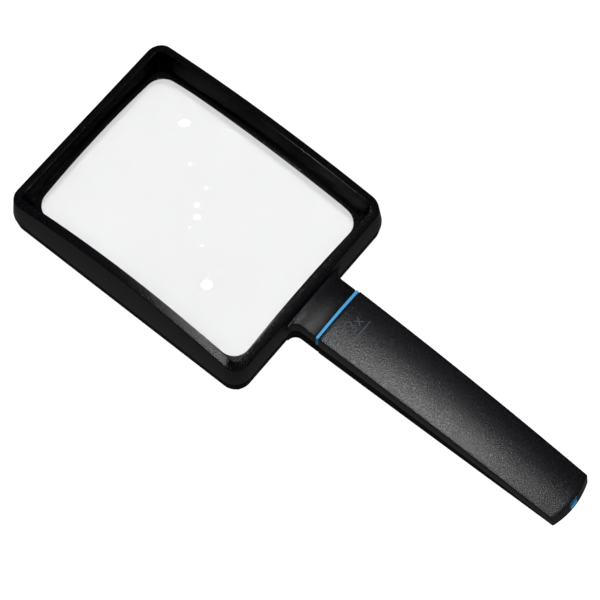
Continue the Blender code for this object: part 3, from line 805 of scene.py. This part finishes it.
def make_core(mat):
    """Blue spine: the collar ahead of the handle, a bar inside it and the tip in the end face."""
    base = PARTING_Z + GAP / 2
    half = NECK_HALF_Y + COLLAR_PROUD
    high = NECK_TOP_Z + COLLAR_TOP_PROUD
    loops = []
    for x, shrink in ((COLLAR_X, COLLAR_EDGE), (COLLAR_X + COLLAR_EDGE, 0.0),
                      (COLLAR_X + COLLAR_THICK - COLLAR_EDGE, 0.0), (COLLAR_X + COLLAR_THICK, COLLAR_EDGE)):
        section = neck_section(x, half - shrink, base + shrink, high - shrink, COLLAR_RADIUS, NECK_CROWN)
        loops.append((section, 0))
    start = loops[0][0].mean(axis=0)
    end = loops[-1][0].mean(axis=0)
    verts, faces, zones = ring_mesh(loops, closed=False, cap_start=start, cap_end=end)
    collar = object_from("collar", verts, faces, zones, [mat])
    piece = bar("accent_core", COLLAR_X + COLLAR_THICK / 2, CORE_END_X, core_side, core_low, core_high, [mat])
    cut(piece, block("step", COLLAR_X, HANDLE_X, -half, half, 0.0, base))
    cut(piece, collar, "UNION")
    tip = block("tip", CORE_END_X - TIP_OVERLAP, TIP_END_X, -TIP_HALF_Y, TIP_HALF_Y, TIP_LOW_Z, TIP_HIGH_Z)
    cut(tip, handle_body("limit", level(0.0), handle_top, HANDLE_CROWN, 0.0, 0.0, [], 0, 0), "INTERSECT")
    cut(piece, tip, "UNION")
    cut(piece, dish())
    cut(piece, tang_pocket(TANG_END_X + GAP))
    for x in HANDLE_SCREW_X:
        cut(piece, rod("hole", x, 0.0, SCREW_CLEAR, BELOW_ALL, RIM_END_Z))
    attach(piece, "root")
    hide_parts("handle_core")


def top_surface(x, y):
    fraction = y / handle_size(x, HANDLE_HALF)
    return handle_top(x) + HANDLE_CROWN * (1 - fraction ** 2)


def arc_points(centre, radius, start, end, steps=12):
    angles = np.radians(np.linspace(start, end, steps))
    return [(centre[0] + radius * math.cos(a), centre[1] + radius * math.sin(a)) for a in angles]


def make_mark(mat):
    """Raised 3x and a rule across the front of the handle; points are (across, up) in millimetres."""
    digit = arc_points((1.4, 3.6), 1.2, 160.0, -90.0) + arc_points((1.4, 1.2), 1.2, 90.0, -160.0)
    rule = [(across, -1.8) for across in np.linspace(-2.8, 7.8, 24)]
    strokes = [digit, [(3.8, 0.0), (6.0, 2.9)], [(3.8, 2.9), (6.0, 0.0)], rule]
    verts = []
    faces = []
    for stroke in strokes:
        add_stroke(verts, faces, stroke)
    piece = object_from("power_mark", verts, faces, [0] * len(faces), [mat])
    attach(piece, "root")


def add_stroke(verts, faces, stroke):
    """Closed ribbon along a line of (across, up) points, where across is +Y and up is -X."""
    points = np.array([(MARK_X - up, MARK_Y + across) for across, up in stroke])
    along_it = np.gradient(points, axis=0)
    along_it /= np.linalg.norm(along_it, axis=1, keepdims=True)
    side = np.column_stack([-along_it[:, 1], along_it[:, 0]]) * MARK_WIDTH / 2
    base = len(verts)
    for point, reach in zip(points, side):
        for x, y, lift in ((*(point - reach), -MARK_HEIGHT), (*(point + reach), -MARK_HEIGHT),
                           (*(point + reach), MARK_HEIGHT), (*(point - reach), MARK_HEIGHT)):
            verts.append((x, y, top_surface(x, y) + lift))
    for k in range(len(points) - 1):
        low = base + 4 * k
        for i in range(4):
            j = (i + 1) % 4
            faces.append((low + i, low + j, low + 4 + j, low + 4 + i))
    last = base + 4 * (len(points) - 1)
    faces.append((base, base + 1, base + 2, base + 3))
    faces.append((last, last + 1, last + 2, last + 3))


# ---- stage, lights and camera -------------------------------------------------

VIEW_AZIMUTH = 39.02            # the camera's right axis, counter-clockwise from +X
VIEW_ELEVATION = 68.64
VIEW_DISTANCE = 0.83826
VIEW_LENS = 132.0
VIEW_SENSOR = 36.0
VIEW_AIM = ORIGIN + Vector((0.04998, 0.00062, -0.00212))
FLOOR_HALF = 3.0
FLOOR_LEVEL = -0.0001           # just clear of the flat underside
FLOOR_ALBEDO = 0.18
FLOOR_GLOW = 1.0                # seen directly, the floor is a lit white sheet
LENS_GLOW = 0.63                # and a little less bright through the lens
WORLD_LEVEL = 0.012


def view_direction():
    az = math.radians(VIEW_AZIMUTH)
    el = math.radians(VIEW_ELEVATION)
    return Vector((-math.sin(az) * math.cos(el), math.cos(az) * math.cos(el), -math.sin(el)))


def add_camera():
    forward = view_direction()
    data = bpy.data.cameras.new("view")
    data.lens = VIEW_LENS
    data.sensor_width = VIEW_SENSOR
    cam = bpy.data.objects.new("view", data)
    cam.location = VIEW_AIM - forward * VIEW_DISTANCE
    cam.rotation_euler = forward.to_track_quat("-Z", "Y").to_euler()
    bpy.context.scene.collection.objects.link(cam)
    bpy.context.scene.camera = cam


def add_lamp(name, location, target, size, power):
    data = bpy.data.lights.new(name, "AREA")
    data.shape = "ELLIPSE"
    data.size, data.size_y = size
    data.energy = power
    lamp = bpy.data.objects.new(name, data)
    lamp.location = location
    lamp.rotation_euler = (Vector(target) - Vector(location)).to_track_quat("-Z", "Y").to_euler()
    bpy.context.scene.collection.objects.link(lamp)


def add_floor():
    """White sheet that is bright to the eye but throws little light back up onto the black sides."""
    half = FLOOR_HALF
    z = FLOOR_LEVEL
    mesh = bpy.data.meshes.new("floor")
    corners = [(-half, -half, z), (half, -half, z), (half, half, z), (-half, half, z)]
    mesh.from_pydata(corners, [], [(0, 1, 2, 3)])
    mat, nodes, links, shader = node_material("floor_white")
    shader.inputs["Base Color"].default_value = (FLOOR_ALBEDO, FLOOR_ALBEDO, FLOOR_ALBEDO, 1.0)
    shader.inputs["Roughness"].default_value = 0.9
    shader.inputs["Specular IOR Level"].default_value = 0.0
    shader.inputs["Emission Color"].default_value = (1.0, 1.0, 1.0, 1.0)
    path = nodes.new("ShaderNodeLightPath")
    through = arith(nodes, links, "MULTIPLY", path.outputs["Is Transmission Ray"], LENS_GLOW)
    seen = arith(nodes, links, "MULTIPLY", path.outputs["Is Camera Ray"], FLOOR_GLOW)
    direct = arith(nodes, links, "LESS_THAN", path.outputs["Glossy Depth"], 0.5)
    glow = arith(nodes, links, "ADD", seen, through)
    links.new(arith(nodes, links, "MULTIPLY", glow, direct), shader.inputs["Emission Strength"])
    mesh.materials.append(mat)
    floor = bpy.data.objects.new("floor", mesh)
    bpy.context.scene.collection.objects.link(floor)


def arith(nodes, links, operation, first, second):
    """One maths node; second is a socket or a number."""
    node = nodes.new("ShaderNodeMath")
    node.operation = operation
    links.new(first, node.inputs[0])
    if isinstance(second, float):
        node.inputs[1].default_value = second
    else:
        links.new(second, node.inputs[1])
    return node.outputs["Value"]


def add_world():
    world = bpy.data.worlds.new("studio")
    world.use_nodes = True
    background = world.node_tree.nodes["Background"]
    background.inputs["Color"].default_value = (1.0, 1.0, 1.0, 1.0)
    background.inputs["Strength"].default_value = WORLD_LEVEL
    bpy.context.scene.world = world


def lamp_place(direction, start, height):
    """Point at a height above the floor on the line from start along direction."""
    direction = Vector(direction)
    start = Vector(start)
    return start + direction * ((height - start.z) / direction.z)


def add_lights():
    """A strong lamp high overhead, a soft one from the near side and three seen only as spots in the lens."""
    lens = ORIGIN + Vector((0.0, 0.0, LENS_TOP_Z * MM))
    overhead = ORIGIN + Vector((0.0214, -0.0223, LENS_TOP_Z * MM))
    add_lamp("overhead", lamp_place((-0.03, 0.042, 0.998), overhead, 8.0), lens, (0.32, 0.26), 290.0)
    window = ORIGIN + Vector((0.05, -0.043, LENS_TOP_Z * MM))
    add_lamp("window", lamp_place((0.11, -0.32, 0.93), window, 2.0), window, (0.7, 0.5), 10.0)
    add_lamp("middle", lamp_place((-0.29, 0.287, 0.92), lens, 2.5), lens, (0.06, 0.06), 0.08)
    add_lamp("small_a", lamp_place((-0.152, 0.156, 0.98), lens, 2.5), lens, (0.03, 0.03), 0.03)
    add_lamp("small_b", lamp_place((-0.249, 0.191, 0.957), lens, 2.5), lens, (0.03, 0.03), 0.03)


# ---- assembly ----------------------------------------------------------------

rim_black = moulded("rim_grained_black", (0.0004, 0.0004, 0.0006), (0.012, 0.012, 0.015), 0.2, 0.3,
                    2100.0, 0.00007, 0.05)
handle_black = moulded("handle_grained_black", (0.0006, 0.0006, 0.001), (0.02, 0.02, 0.026), 0.25,
                       0.25, 2200.0, 0.00008, 0.06)
# Copy of the handle's grain with a darker tint and weaker sheen: painted shade on the neck top.
neck_shade_black = moulded("neck_grained_black_painted_shade", (0.0006, 0.0006, 0.001), (0.014, 0.014, 0.018), 0.25,
                     0.12, 2200.0, 0.00008, 0.06)
mark_grey = moulded("mark_faint_grey", (0.09, 0.11, 0.15), (0.11, 0.13, 0.18), 0.5, 0.1, 1500.0,
                    0.000004)
wall_black = moulded("wall_satin_black", (0.006, 0.006, 0.0065), (0.008, 0.008, 0.009), 0.4, 0.3,
                     1400.0, 0.000006)
# Near black, far darker than the walls of the same moulding: painted shade inside the recessed well.
well_shade_black = moulded("well_gloss_black_painted_shade", (0.0002, 0.0002, 0.0003), (0.0006, 0.0006, 0.0008), 0.2, 0.03,
                     700.0, 0.000002)
# Near black, far darker than the upper walls: painted shade on the lower frame and the lower handle shell.
lower_half_shade_black = moulded("base_matt_black_painted_shade", (0.0005, 0.0005, 0.0005), (0.001, 0.001, 0.001), 0.5, 0.05,
                     1400.0, 0.000006)
seal_black = moulded("seal_gloss_black", (0.003, 0.003, 0.004), (0.006, 0.006, 0.007), 0.25, 0.2,
                     900.0, 0.000004)
accent_blue = moulded("accent_satin_blue", (0.10, 0.50, 0.92), (0.12, 0.54, 0.98), 0.45, 0.2,
                      1600.0, 0.000005)
lens_clear = clear_acrylic("lens_clear_acrylic")
steel = brushed_steel("fastener_steel")

make_upper_frame([rim_black, wall_black, well_shade_black, neck_shade_black])
make_lower_frame([lower_half_shade_black])
make_lens(lens_clear)
make_seal(seal_black)
make_handle_top([handle_black, wall_black])
make_handle_base([lower_half_shade_black])
make_core(accent_blue)
make_mark(mark_grey)

# The steel bar and the screws are the CAD nodes that still show.
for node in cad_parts.values():
    if node.hide_render:
        continue
    node.data.materials.clear()
    node.data.materials.append(steel)

add_floor()
add_world()
add_lights()
add_camera()
bpy.context.scene.view_settings.view_transform = "Standard"
